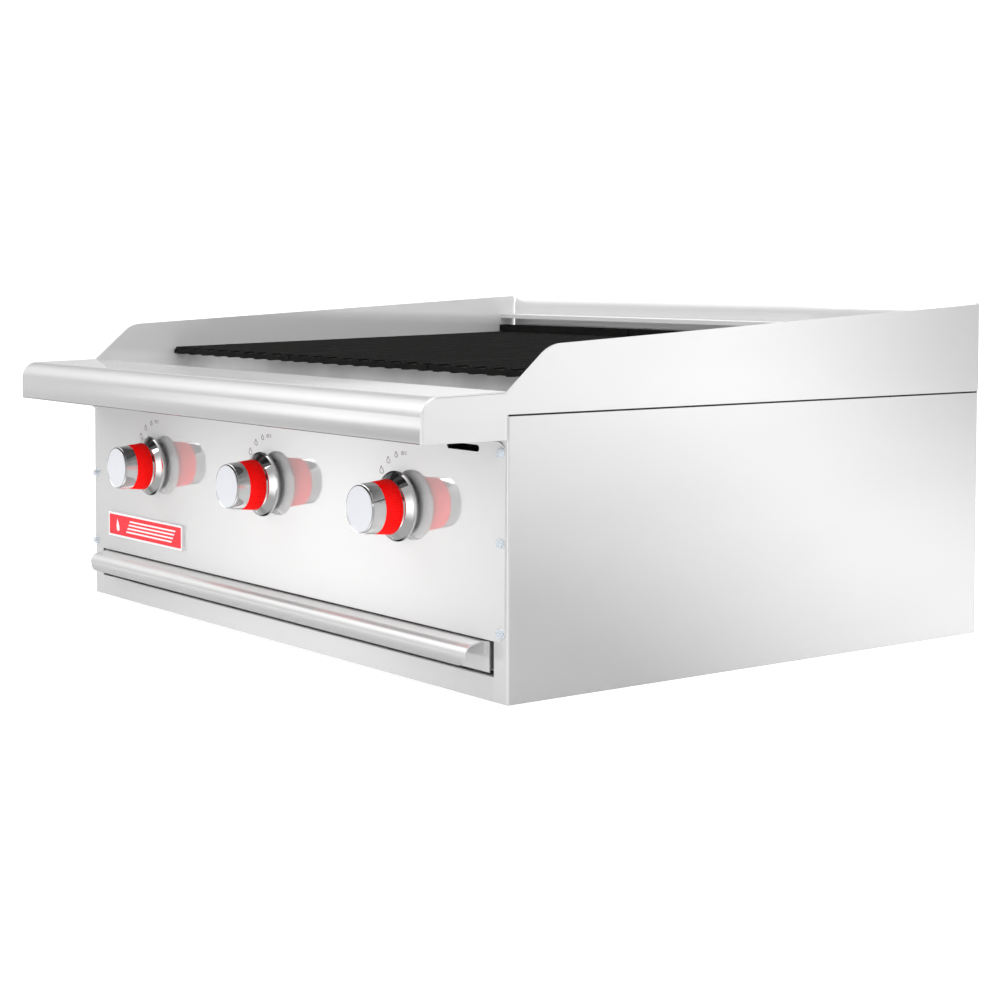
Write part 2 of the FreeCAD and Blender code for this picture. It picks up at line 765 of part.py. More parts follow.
def manifold_elbow():
    """Elbow between the manifold and the supply pipe."""
    corner = Vector(supply_x, manifold_y, manifold_z)
    ball = Part.makeSphere(fitting_radius, corner)
    to_manifold = rod(fitting_radius, (supply_x, manifold_y, manifold_z), (-1, 0, 0), fitting_length)
    to_supply = rod(fitting_radius, (supply_x, manifold_y, manifold_z), (0, 1, 0), fitting_length)
    body = fuse([ball, to_manifold, to_supply])
    bores = fuse([Part.makeSphere(pipe_bore, corner),
                  rod(pipe_bore, (supply_x, manifold_y, manifold_z), (-1, 0, 0), fitting_length + 1),
                  rod(pipe_bore, (supply_x, manifold_y, manifold_z), (0, 1, 0), fitting_length + 1)])
    return body.cut(bores)


def gas_supply_pipe():
    """Pipe from the elbow to the coupling at the back."""
    y0 = manifold_y + fitting_length
    y1 = body_depth - coupling_length
    outer = along_y(pipe_radius, supply_x, manifold_z, y0, y1)
    return outer.cut(along_y(pipe_bore, supply_x, manifold_z, y0 - 1, y1 + 1))


def gas_inlet_coupling():
    """Threaded coupling that a gas line screws into, flush with the back."""
    y0 = body_depth - coupling_length
    outer = along_y(fitting_radius, supply_x, manifold_z, y0, body_depth)
    thread_end = body_depth - inlet_thread_length
    thread = along_y(inlet_thread_radius, supply_x, manifold_z, thread_end, body_depth + 1)
    passage = along_y(pipe_bore, supply_x, manifold_z, y0 - 1, body_depth)
    return outer.cut(thread).cut(passage)


def gas_valve(x):
    """Brass valve on the manifold, with a bush for its stem and an outlet to the burner."""
    body = along_y(valve_radius, x, valve_axis_z, valve_front, valve_rear)
    bush_start = valve_front - valve_bush_length
    bush = along_y(stem_radius + valve_bush_wall, x, valve_axis_z, bush_start, valve_front)
    outlet = along_y(outlet_radius, x, valve_axis_z, valve_rear, valve_rear + outlet_length)
    nipple = rod(nipple_radius, (x, manifold_y, manifold_z), (0, 0, 1), manifold_drop)
    pipe = rod(pipe_radius, (x - burner_pitch / 2, manifold_y, manifold_z), (1, 0, 0), burner_pitch)
    bore = along_y(stem_radius + stem_running_clearance, x, valve_axis_z, 0, valve_rear - valve_plug_length)
    return fuse([body, bush, outlet, nipple]).cut(pipe).cut(bore)


def orifice_hoods():
    """Three hexagon orifice hoods on the valve outlets."""
    hoods = []
    y0 = valve_rear + outlet_length - hood_overlap
    across_flats = 2 * (outlet_radius + hood_wall)
    for x in burner_places:
        hood = hexagon_y(across_flats, x, valve_axis_z, y0, y0 + hood_length)
        hood = hood.cut(along_y(outlet_radius, x, valve_axis_z, y0 - 1, y0 + hood_overlap))
        hoods.append(hood.cut(along_y(jet_radius, x, valve_axis_z, y0, y0 + hood_length + 1)))
    return Part.makeCompound(hoods)


def pilot_tubes():
    """Three small tubes from the manifold up and back to the burners."""
    tubes = []
    for place in burner_places:
        x = place + pilot_offset
        top = valve_axis_z + pilot_rise
        start = Vector(x, manifold_y, manifold_z + pipe_radius)
        bend_start = Vector(x, manifold_y, top - pilot_bend)
        sag = pilot_bend * (1 - math.sqrt(0.5))
        bend_middle = Vector(x, manifold_y + sag, top - sag)
        bend_end = Vector(x, manifold_y + pilot_bend, top)
        end = Vector(x, firebox_front_y + burner_front_gap, top)
        path = Part.Wire([Part.LineSegment(start, bend_start).toShape(),
                          Part.Arc(bend_start, bend_middle, bend_end).toShape(),
                          Part.LineSegment(bend_end, end).toShape()])
        section = Part.Wire([Part.makeCircle(pilot_radius, start, Vector(0, 0, 1))])
        tubes.append(path.makePipeShell([section], True, False))
    pipe = rod(pipe_radius, (-half_width, manifold_y, manifold_z), (1, 0, 0), body_width)
    return Part.makeCompound(tubes).cut(pipe)


# ---- knobs ------------------------------------------------------------------
def knob_reaches():
    """Forward reach of the ring's front, the grip's front and the grip's back."""
    ring_front = knob_face_reach - knob_cap_thickness
    grip_front = ring_front - knob_ring_length
    return ring_front, grip_front, grip_front - knob_grip_length


def knob_skirt(x):
    """Chromed core of a knob: front ring, hollow core, neck and flared skirt."""
    ring_front, grip_front, grip_back = knob_reaches()
    back = sheet + knob_panel_gap
    hub_end = ring_front - knob_front_wall
    hub_back = back + stem_hub_setback
    inner = knob_core_radius - knob_wall
    profile = [(0, ring_front), (knob_ring_front_radius, ring_front), (knob_ring_rear_radius, grip_front),
               (knob_core_radius, grip_front), (knob_core_radius, grip_back), (knob_neck_radius, grip_back),
               (knob_neck_radius + knob_neck_flare, grip_back - knob_neck_fall),
               (knob_rim_radius - knob_rim_lip, knob_rim_reach + knob_rim_round),
               (knob_rim_radius, knob_rim_reach), (knob_rim_radius, knob_rim_reach - knob_rim_thickness),
               (knob_back_radius, back), (knob_back_radius - knob_wall, back),
               (inner, grip_back - knob_rim_lip), (inner, hub_end),
               (stem_hub_radius, hub_end), (stem_hub_radius, hub_back), (0, hub_back)]
    body = ring_turned(profile, x, valve_axis_z)
    return body.cut(along_y(stem_radius, x, valve_axis_z, stem_front_y(), 0))


def knob_grip(x):
    """Coloured grip sleeve on the knob's core."""
    reach = knob_reaches()
    profile = [(knob_core_radius, reach[1]), (knob_ring_rear_radius, reach[1]),
               (knob_grip_rear_radius, reach[2]), (knob_core_radius, reach[2])]
    return ring_turned(profile, x, valve_axis_z)


def knob_cap(x):
    """Face of the knob."""
    reach = knob_reaches()
    profile = [(0, reach[0]), (knob_cap_radius, reach[0]),
               (knob_cap_radius, knob_face_reach - knob_cap_chamfer),
               (knob_cap_radius - knob_cap_chamfer, knob_face_reach), (0, knob_face_reach)]
    return ring_turned(profile, x, valve_axis_z)


def stem_front_y():
    """Depth of the stem's front end, inside the knob's hub."""
    return -sheet - knob_panel_gap - stem_hub_setback - stem_depth_in_knob


def valve_stem(x):
    """Stem that turns in the valve and carries the knob."""
    end = valve_rear - valve_plug_length - stem_end_gap
    return along_y(stem_radius, x, valve_axis_z, stem_front_y(), end)


# ---- drip tray --------------------------------------------------------------
def tray_front():
    """Plate that closes the tray opening."""
    bottom = tray_opening_bottom + tray_front_bottom_gap
    return box(-tray_half, tray_half, 0, sheet, bottom, panel_bottom - tray_front_top_gap)


def tray_pull():
    """Bent pull across the tray's front, open below and at its ends."""
    top = panel_bottom - pull_top_gap
    lip = top - pull_fall - pull_drop
    path = [(-pull_reach, lip, 0), (-pull_reach, top - pull_fall, pull_bend_radius),
            (0, top, tray_wall + 0.1), (0, top - pull_mount, 0)]
    half = tray_half - pull_side_inset
    pull = prism_x(bent_sheet(path, tray_wall), -half, half)
    outline = [(-half, lip, pull_corner_radius), (half, lip, pull_corner_radius),
               (half, top + 1, 0), (-half, top + 1, 0)]
    return pull.common(prism_y(outline, -pull_reach - 5, 5))


def tray_pan():
    """Long shallow pan behind the tray's front."""
    outer = box(-pan_half, pan_half, sheet, tray_rear_y, tray_floor, tray_pan_top)
    inner_half = pan_half - tray_wall
    inner = box(-inner_half, inner_half, sheet + tray_wall, tray_rear_y - tray_wall,
                tray_floor + tray_wall, tray_pan_top + 1)
    return outer.cut(inner)


def tray_runner():
    """Right runner under the pan, standing on the floor of the body."""
    x0 = pan_half - runner_overlap
    x1 = x0 + runner_width
    top = tray_floor - runner_clearance
    path = [(x0, top, 0), (x1, top, 0), (x1, sheet, 0)]
    return prism_y(bent_sheet(path, sheet), lower_flange_depth, tray_rear_y)


# ---- grates -----------------------------------------------------------------
def grate(x):
    """One cast-iron grate section, tilted so that grease runs to the front."""
    y0 = grate_front_y
    y1 = guard_y - grate_rear_gap
    bottom = grate_bottom
    top = bottom + bar_height
    shoulder = top - bar_cheek_height
    edge = top - bar_chamfer
    half_crest = bar_width / 2
    half_foot = bar_foot_width / 2
    pieces = []
    for i in range(bar_count):
        c = x + (i - (bar_count - 1) / 2) * bar_pitch
        corners = [(c - half_foot, bottom, 0), (c + half_foot, bottom, 0), (c + half_crest, shoulder, 0),
                   (c + half_crest, edge, 0), (c + half_crest - bar_chamfer_width, top, 0),
                   (c, top - groove_depth, 0), (c - half_crest + bar_chamfer_width, top, 0),
                   (c - half_crest, edge, 0), (c - half_crest, shoulder, 0)]
        pieces.append(prism_y(corners, y0, y1 - bar_end_gap))
    half = section_width / 2
    cross_bottom = bottom + cross_bar_lift
    cross_top = cross_bottom + cross_bar_height
    for share in cross_bar_shares:
        y = y0 + (y1 - y0) * share
        pieces.append(box(x - half, x + half, y, y + cross_bar_width, cross_bottom, cross_top))
    upstand_bottom = bottom + upstand_lift
    upstand_top = bottom + upstand_height
    pieces.append(box(x - half, x + half, y1 - upstand_thickness, y1, upstand_bottom, upstand_top))
    section = fuse(pieces)
    section.rotate(Vector(0, y0, bottom), Vector(1, 0, 0), grate_tilt)
    return section


# ---- write every piece ------------------------------------------------------
os.makedirs("parts", exist_ok=True)

right_side = side_panel()
write("side_panel_left", mirrored(right_side))
write("side_panel_right", right_side.cut(inlet_hole()))
right_cheek = cheek()
write("cheek_left", mirrored(right_cheek))
write("cheek_right", right_cheek)
write("seam_gaskets", seam_gaskets())
write("back_guard", back_guard())
write("guard_shelf", guard_shelf())
write("back_panel", back_panel())
write("base_plate", base_plate())
write("leg_nuts", leg_nuts())
write("lower_front_plate", lower_front_plate())
write("control_panel", control_panel())
write("panel_screws", panel_screws())
write("front_ledge", front_ledge())
write("badge_plate", badge_plate())
write("badge_enamel", badge_enamel())
write("grease_trough", grease_trough())
write("trough_drain_tube", trough_drain_tube())
write("firebox_front", firebox_front())
write("firebox_rear", firebox_rear())
right_firebox_side = firebox_side()
write("firebox_left", mirrored(right_firebox_side))
write("firebox_right", right_firebox_side)
write("radiant_rail_front", front_angle(radiant_seat))
write("radiant_rail_rear", rear_angle(radiant_seat))
write("burner_rest_rear", rear_angle(valve_axis_z - burner_bar_height / 2))
write("gas_manifold", gas_manifold())
write("manifold_elbow", manifold_elbow())
write("gas_supply_pipe", gas_supply_pipe())
write("gas_inlet_coupling", gas_inlet_coupling())
write("orifice_hoods", orifice_hoods())
write("pilot_tubes", pilot_tubes())
right_runner = tray_runner()
write("tray_runner_left", mirrored(right_runner))
write("tray_runner_right", right_runner)
write("tray_front", tray_front())
write("tray_pull", tray_pull())
write("tray_pan", tray_pan())
for i, x in enumerate(burner_places):
    number = str(i + 1)
    write("burner_" + number, burner(x))
    write("radiant_" + number, radiant(x))
    write("gas_valve_" + number, gas_valve(x))
    write("knob_skirt_" + number, knob_skirt(x))
    write("knob_grip_" + number, knob_grip(x))
    write("knob_cap_" + number, knob_cap(x))
    write("valve_stem_" + number, valve_stem(x))
for i, x in enumerate(grate_places):
    write("grate_" + str(i + 1), grate(x))
print("wrote", len(os.listdir("parts")), "pieces; depth centre at y =", round(depth_centre_y, 2))
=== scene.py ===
# %% Start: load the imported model
import math

import bmesh
import bpy
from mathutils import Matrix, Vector


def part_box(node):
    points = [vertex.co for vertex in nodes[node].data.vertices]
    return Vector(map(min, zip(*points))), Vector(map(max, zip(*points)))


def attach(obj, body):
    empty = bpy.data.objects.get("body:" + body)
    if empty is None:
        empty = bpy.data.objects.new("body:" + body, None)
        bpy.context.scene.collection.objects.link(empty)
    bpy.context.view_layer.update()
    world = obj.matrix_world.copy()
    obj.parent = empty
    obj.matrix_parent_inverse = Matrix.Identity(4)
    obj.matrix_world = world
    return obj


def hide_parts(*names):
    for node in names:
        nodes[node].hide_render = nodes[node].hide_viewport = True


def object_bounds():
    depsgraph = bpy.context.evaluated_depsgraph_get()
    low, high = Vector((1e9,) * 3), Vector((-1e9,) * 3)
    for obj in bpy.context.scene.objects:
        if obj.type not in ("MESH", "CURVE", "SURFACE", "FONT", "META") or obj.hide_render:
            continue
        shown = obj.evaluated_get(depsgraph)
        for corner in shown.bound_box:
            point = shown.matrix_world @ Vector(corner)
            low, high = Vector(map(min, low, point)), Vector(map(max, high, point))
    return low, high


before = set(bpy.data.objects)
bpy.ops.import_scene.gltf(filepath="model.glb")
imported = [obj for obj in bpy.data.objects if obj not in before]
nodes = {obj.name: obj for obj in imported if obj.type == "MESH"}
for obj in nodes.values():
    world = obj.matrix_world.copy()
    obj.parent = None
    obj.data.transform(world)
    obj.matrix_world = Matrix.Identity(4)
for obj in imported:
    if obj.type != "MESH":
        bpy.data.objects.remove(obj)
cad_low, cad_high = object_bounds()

# %% [markdown]
# A charbroiler is mostly folded stainless sheet, and its sheets already have their true shape in the
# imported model. So the work here is of three kinds: the light that steel needs to look like steel, a
# finish for every part, and the few details that are too small or too fussy for the design model, such as
# ribs and dial marks. All sizes below are in metres, so a small helper turns millimetres into metres.

# %% Sizes and small helpers
MM = 0.001
print("object measures", [round(v, 4) for v in (cad_high - cad_low)])


def node_box(name):
    """Lowest and highest corner of a part, as vectors."""
    low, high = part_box(name)
    return Vector(low), Vector(high)


def add_mesh(name, build, body, material):
    """Make a mesh object with a bmesh builder, give it a finish and let it ride on a body."""
    data = bpy.data.meshes.new(name)
    mesh = bmesh.new()
    build(mesh)
    bmesh.ops.recalc_face_normals(mesh, faces=mesh.faces)
    mesh.to_mesh(data)
    mesh.free()
    piece = bpy.data.objects.new(name, data)
    bpy.context.scene.collection.objects.link(piece)
    data.materials.append(material)
    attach(piece, body)
    return piece


def smooth_by_angle(piece, degrees=35):
    """Shade round stretches smooth and keep real edges sharp."""
    data = piece.data
    data.shade_smooth()
    mesh = bmesh.new()
    mesh.from_mesh(data)
    for edge in mesh.edges:
        if len(edge.link_faces) == 2 and edge.calc_face_angle() > math.radians(degrees):
            edge.smooth = False
    mesh.to_mesh(data)
    mesh.free()


# %% [markdown]
# Steel shows what stands round it. A studio puts such a part on a pale sweep with large soft lights, and
# the sheet then runs from white to soft grey. The sweep here is a wide dish: a flat floor that curves up
# into a low wall all round, turned from one outline, so that no view from any side meets a hard horizon.

# %% The pale sweep
def material_with_nodes(name):
    """New material and its node tree, with the default shader kept."""
    material = bpy.data.materials.new(name)
    material.use_nodes = True
    return material, material.node_tree


def sweep_material():
    material, tree = material_with_nodes("studio_sweep")
    shader = tree.nodes["Principled BSDF"]
    shader.inputs["Base Color"].default_value = (0.8, 0.8, 0.8, 1)
    shader.inputs["Emission Color"].default_value = (1, 1, 1, 1)
    shader.inputs["Emission Strength"].default_value = 0.5
    shader.inputs["Roughness"].default_value = 0.9
    shader.inputs["Specular IOR Level"].default_value = 0.1
    return material


def make_sweep():
    flat, bend, wall, steps = 4.0, 2.0, 2.2, 12
    outline = [(0.0, 0.0), (flat, 0.0)]
    for i in range(1, steps + 1):
        angle = i / steps * math.pi / 2
        outline.append((flat + bend * math.sin(angle), bend * (1 - math.cos(angle))))
    outline.append((flat + bend, bend + wall))
    data = bpy.data.meshes.new("studio_sweep")
    mesh = bmesh.new()
    verts = [mesh.verts.new((r, 0, z)) for r, z in outline]
    edges = [mesh.edges.new(pair) for pair in zip(verts, verts[1:])]
    bmesh.ops.spin(mesh, geom=verts + edges, cent=(0, 0, 0), axis=(0, 0, 1), angle=2 * math.pi, steps=96)
    bmesh.ops.remove_doubles(mesh, verts=mesh.verts, dist=0.0005)
    bmesh.ops.recalc_face_normals(mesh, faces=mesh.faces)
    mesh.to_mesh(data)
    mesh.free()
    data.shade_smooth()
    sweep = bpy.data.objects.new("studio_sweep", data)
    sweep.location.z = cad_low.z - 0.0005
    bpy.context.scene.collection.objects.link(sweep)
    data.materials.append(sweep_material())
    return sweep


sweep = make_sweep()
print("sweep is", round(sweep.dimensions.x, 2), "m across")

# %% [markdown]
# Polished sheet is mostly a picture of its surroundings. In a studio those are white boards with a
# brighter patch where the lamp behind them sits, and black boards for the chrome. The world can draw all
# of them: it starts from an even grey, and each soft spot, given by a direction and a width, makes it
# lighter or darker. The boards stand where the main view's reflections look, so the steel is plainer from
# other sides. The sweep is left out of reflections, which a real one could not be, so the steel sees the
# boards and not the horizon.

# %% World with soft boards
world = bpy.data.worlds.new("studio_world")
bpy.context.scene.world = world
world.use_nodes = True
world_tree = world.node_tree
direction = world_tree.nodes.new("ShaderNodeTexCoord").outputs["Generated"]


def soft_board(level, toward, width, strength):
    """Add a soft round spot to the level of the world's light."""
    middle = Vector(toward).normalized()
    distance = world_tree.nodes.new("ShaderNodeVectorMath")
    distance.operation = "DISTANCE"
    distance.inputs[1].default_value = middle
    fall = world_tree.nodes.new("ShaderNodeMapRange")
    fall.interpolation_type = "SMOOTHSTEP"
    fall.inputs["From Min"].default_value = 0.0
    fall.inputs["From Max"].default_value = width
    fall.inputs["To Min"].default_value = strength
    fall.inputs["To Max"].default_value = 0.0
    add = world_tree.nodes.new("ShaderNodeMath")
    add.operation = "ADD"
    world_tree.links.new(direction, distance.inputs[0])
    world_tree.links.new(distance.outputs["Value"], fall.inputs["Value"])
    world_tree.links.new(fall.outputs["Result"], add.inputs[0])
    if isinstance(level, float):
        add.inputs[1].default_value = level
    else:
        world_tree.links.new(level, add.inputs[1])
    return add.outputs["Value"]


even_grey = 0.40
boards = [
    # toward, width, strength: a minus makes a dark board
    ((0.70, 0.70, -0.12), 0.42, 0.72),       # white board that the right side panel reflects
    ((0.778, 0.594, -0.27), 0.27, -1.4),     # dark patch low beside the side panel's front edge
    ((0.61, 0.79, -0.01), 0.17, -1.0),       # dark patch at the side panel's rear end
    ((-0.838, -0.535, -0.12), 0.15, 0.85),   # bright patch in the middle of the control panel
    ((-0.72, 0.68, 0.05), 0.60, 0.65),       # white board behind, for the flat tops
    ((-0.65, -0.30, 0.68), 0.75, 1.05),      # large white board above the front left, for the back guard
    ((-0.72, -0.55, 0.42), 0.45, 0.6),       # its lower part, for the ledge's nose
    ((0.10, -0.30, 0.95), 0.8, 0.5),         # overhead board
    ((0.12, -0.99, -0.04), 0.50, 1.0),       # white board straight in front, for the chrome skirts
    ((0.55, 0.50, 0.62), 0.45, -0.5),        # three black boards for the chrome rings
    ((0.74, 0.45, -0.55), 0.30, -0.45),
    ((0.82, 0.51, 0.26), 0.24, -0.6),
    ((-0.74, -0.48, -0.47), 0.36, -0.45),    # black board below, for the lower edge of the ledge
    ((0.2, 0.1, -0.97), 0.9, 0.9),           # pale floor
]
level = even_grey
for toward, width, strength in boards:
    level = soft_board(level, toward, width, strength)
never_black = world_tree.nodes.new("ShaderNodeMath")
never_black.operation = "MAXIMUM"
never_black.inputs[1].default_value = 0.02
never_black.label = "a dark board never gives less than this"
world_tree.links.new(level, never_black.inputs[0])
background = world_tree.nodes["Background"]
background.inputs["Color"].default_value = (1, 1, 1, 1)
world_tree.links.new(never_black.outputs["Value"], background.inputs["Strength"])
bpy.context.scene.view_settings.view_transform = "Standard"
sweep.visible_glossy = False
print("world has", len(world_tree.nodes), "nodes")

# %% [markdown]
# Three large area lights give the shape: one high at the front left for the ledge and the panel, one over
# the top, and one on the right. They are weak, because the glowing sweep already gives most of the light.

# %% Area lights
def area_light(name, place, aim, size, power):
    data = bpy.data.lights.new(name, "AREA")
    data.shape = "RECTANGLE"
    data.size = size[0]
    data.size_y = size[1]
    data.energy = power
    lamp = bpy.data.objects.new(name, data)
    lamp.location = place
    lamp.rotation_mode = "QUATERNION"
    lamp.rotation_quaternion = (Vector(aim) - Vector(place)).to_track_quat("-Z", "Y")
    bpy.context.scene.collection.objects.link(lamp)
    return lamp


target = Vector((0, 0, 0.2))
area_light("key_light", (-1.6, -2.6, 2.3), target, (2.2, 1.6), 18)
area_light("top_light", (0.2, 0.2, 2.9), target, (2.6, 2.6), 21)
area_light("side_light", (3.0, 0.2, 1.9), target, (2.0, 2.0), 15)

# %% [markdown]
# The camera stands low at the front right corner and keeps the upright edges upright, as catalogue views
# do: it looks almost level, and the view is shifted on the sensor instead of tilting the camera.

# %% Camera
camera_data = bpy.data.cameras.new("camera")
camera = bpy.data.objects.new("camera", camera_data)
bpy.context.scene.collection.objects.link(camera)
bpy.context.scene.camera = camera
camera_data.sensor_width = 36.0
camera_data.lens = 74.27
camera_azimuth = math.radians(52.86)
camera_dip = math.radians(2.75)
camera_roll = math.radians(-0.14)
camera_data.shift_x = 0.0
camera_data.shift_y = -0.13
camera.location = (2.0754, -1.5413, 0.4327)
camera.rotation_euler = (math.pi / 2 - camera_dip, camera_roll, camera_azimuth)
print("camera lens", camera_data.lens, "mm")

# %% [markdown]
# Brushed stainless is the main finish. The real sheet is ground with a belt, which leaves thousands of
# fine parallel scratches. They are too fine to see one by one, but they soften every reflection and draw
# it out across the grain. Painting the scratches as an image would be the other way; noise stretched
# along the grain costs nothing, never repeats and works on every sheet, whatever its size.

# %% Node helpers for finishes
def new_node(tree, kind, **settings):
    """Add a node and set its fields."""
    node = tree.nodes.new(kind)
    for field, value in settings.items():
        setattr(node, field, value)
    return node


def stretched_noise(tree, scale, detail=3.0, roughness=0.6):
    """Noise in the part's own coordinates, with its own scale along X, Y and Z."""
    coordinates = new_node(tree, "ShaderNodeTexCoord")
    mapping = new_node(tree, "ShaderNodeMapping")
    mapping.inputs["Scale"].default_value = scale
    noise = new_node(tree, "ShaderNodeTexNoise")
    noise.inputs["Scale"].default_value = 1.0
    noise.inputs["Detail"].default_value = detail
    noise.inputs["Roughness"].default_value = roughness
    tree.links.new(coordinates.outputs["Object"], mapping.inputs["Vector"])
    tree.links.new(mapping.outputs["Vector"], noise.inputs["Vector"])
    return noise.outputs["Fac"]


def spread(tree, value, low, high, from_low=0.3, from_high=0.7):
    """Map a noise value onto a range."""
    node = new_node(tree, "ShaderNodeMapRange")
    node.inputs["From Min"].default_value = from_low
    node.inputs["From Max"].default_value = from_high
    node.inputs["To Min"].default_value = low
    node.inputs["To Max"].default_value = high
    tree.links.new(value, node.inputs["Value"])
    return node.outputs["Result"]


def blend_colours(tree, value, first, second):
    """Colour that runs from first to second as the value goes from 0 to 1."""
    ramp = new_node(tree, "ShaderNodeValToRGB")
    ramp.color_ramp.elements[0].color = (*first, 1)
    ramp.color_ramp.elements[1].color = (*second, 1)
    tree.links.new(value, ramp.inputs["Fac"])
    return ramp.outputs["Color"]


def add_bump(tree, value, depth, strength):
    """Relief of a given depth in metres on the default shader."""
    bump = new_node(tree, "ShaderNodeBump")
    bump.inputs["Distance"].default_value = depth
    bump.inputs["Strength"].default_value = strength
    tree.links.new(value, bump.inputs["Height"])
    tree.links.new(bump.outputs["Normal"], tree.nodes["Principled BSDF"].inputs["Normal"])


# %% [markdown]
# The grain of a sheet runs along its longer side, so each folded part needs its own grain direction:
# along X on everything that spans the front, along Y on the sides. The metallic share is kept below one,
# because this sheet is milky: it mirrors the knobs only faintly, and the rest of its light is even. A few
# sheets have a tone of their own. Those tones, and the shading helpers further down, were chosen
# to balance the steel in the main view, so they are a matter of taste and not a property of the alloy.

# %% Brushed stainless
def brushed_stainless(name, grain, tone=0.80, metallic=0.5, gloss=(0.035, 0.055), depth=0.000008):
    """Milky brushed sheet with its grain along "X", "Y" or "Z"."""
    material, tree = material_with_nodes(name)
    shader = tree.nodes["Principled BSDF"]
    fine, along = 900.0, 5.0
    scale = {"X": (along, fine, fine), "Y": (fine, along, fine), "Z": (fine, fine, along)}[grain]
    scratches = stretched_noise(tree, scale, detail=4.0)
    cloud_along, cloud_across = 1.4, 6.0
    cloud_scale = {"X": (cloud_along, cloud_across, cloud_across),
                   "Y": (cloud_across, cloud_along, cloud_across),
                   "Z": (cloud_across, cloud_across, cloud_along)}[grain]
    clouds = stretched_noise(tree, cloud_scale, detail=2.0)
    shades = spread(tree, clouds, 0.0, 1.0)
    colour = blend_colours(tree, shades, (tone * 0.965,) * 3, (tone * 1.02,) * 3)
    tree.links.new(colour, shader.inputs["Base Color"])
    rough = new_node(tree, "ShaderNodeMath", operation="ADD")
    tree.links.new(spread(tree, scratches, gloss[0], gloss[1]), rough.inputs[0])
    tree.links.new(spread(tree, clouds, 0.0, 0.03), rough.inputs[1])
    tree.links.new(rough.outputs["Value"], shader.inputs["Roughness"])
    shader.inputs["Metallic"].default_value = metallic
    shader.inputs["Specular IOR Level"].default_value = 0.5
    add_bump(tree, scratches, depth, 0.35)
    return material


stainless_x = brushed_stainless("stainless_grain_x", "X")
stainless_y = brushed_stainless("stainless_grain_y", "Y")
stainless_cheek = brushed_stainless("stainless_cheek", "Y", tone=0.80, metallic=0.45)
# The ledge is toned darker and the far cheek lighter than the other sheets: painted shade and painted light
# for how the light falls on each in the main view.
stainless_ledge = brushed_stainless("stainless_ledge", "X", tone=0.76)
stainless_far_cheek = brushed_stainless("stainless_far_cheek", "Y", tone=0.88, metallic=0.3)


def bow_inwards(material, low, high, depth, sharpness=2.0):
    """Let the shading of a flat sheet bow in towards its lower edge. Its shape stays as designed."""
    tree = material.node_tree
    coordinates = new_node(tree, "ShaderNodeTexCoord")
    split = new_node(tree, "ShaderNodeSeparateXYZ")
    tree.links.new(coordinates.outputs["Object"], split.inputs["Vector"])
    share = spread(tree, split.outputs["Z"], 1.0, 0.0, low, high)
    curve = new_node(tree, "ShaderNodeMath", operation="POWER")
    curve.inputs[1].default_value = sharpness
    tree.links.new(share, curve.inputs[0])
    bow = new_node(tree, "ShaderNodeBump")
    bow.invert = True
    bow.inputs["Distance"].default_value = depth
    tree.links.new(curve.outputs["Value"], bow.inputs["Height"])
    grain = tree.nodes["Bump"]
    tree.links.new(bow.outputs["Normal"], grain.inputs["Normal"])


ledge_low, ledge_high = node_box("front_ledge")
nose_start = ledge_high.z - 22 * MM
bow_inwards(stainless_ledge, ledge_low.z + 6.8 * MM, nose_start, 5.4 * MM, 2.8)


def paint_shade_on_inner_faces(material, dark):
    """Painted shade: darken faces that look down or back, which are the inner side of a fold."""
    tree = material.node_tree
    geometry = new_node(tree, "ShaderNodeNewGeometry")
    split = new_node(tree, "ShaderNodeSeparateXYZ")
    tree.links.new(geometry.outputs["True Normal"], split.inputs["Vector"])
    down = spread(tree, split.outputs["Z"], 1.0, 0.0, -0.5, -0.2)
    back = spread(tree, split.outputs["Y"], 0.0, 1.0, 0.2, 0.5)
    inside = new_node(tree, "ShaderNodeMath", operation="MAXIMUM")
    tree.links.new(down, inside.inputs[0])
    tree.links.new(back, inside.inputs[1])
    mix = new_node(tree, "ShaderNodeMix", data_type="RGBA")
    shader = tree.nodes["Principled BSDF"]
    tree.links.new(inside.outputs["Value"], mix.inputs["Factor"])
    tree.links.new(shader.inputs["Base Color"].links[0].from_socket, mix.inputs["A"])
    mix.inputs["B"].default_value = (dark, dark, dark, 1)
    tree.links.new(mix.outputs["Result"], shader.inputs["Base Color"])


# Painted shade on the ledge's down- and back-facing faces.
paint_shade_on_inner_faces(stainless_ledge, 0.12)

# The guard is toned lighter than the other sheets: painted light.
stainless_guard = brushed_stainless("stainless_guard", "X", tone=0.88, metallic=0.4)
guard_high = node_box("back_guard")[1]


def paint_shade_towards_foot(material, low, high, dark):
    """Painted shade: a darker tone on the lower strip of a sheet."""
    tree = material.node_tree
    coordinates = new_node(tree, "ShaderNodeTexCoord")
    split = new_node(tree, "ShaderNodeSeparateXYZ")
    tree.links.new(coordinates.outputs["Object"], split.inputs["Vector"])
    mix = new_node(tree, "ShaderNodeMix", data_type="RGBA")
    shader = tree.nodes["Principled BSDF"]
    tree.links.new(spread(tree, split.outputs["Z"], 1.0, 0.0, low, high), mix.inputs["Factor"])
    tree.links.new(shader.inputs["Base Color"].links[0].from_socket, mix.inputs["A"])
    mix.inputs["B"].default_value = (dark, dark, dark, 1)
    tree.links.new(mix.outputs["Result"], shader.inputs["Base Color"])
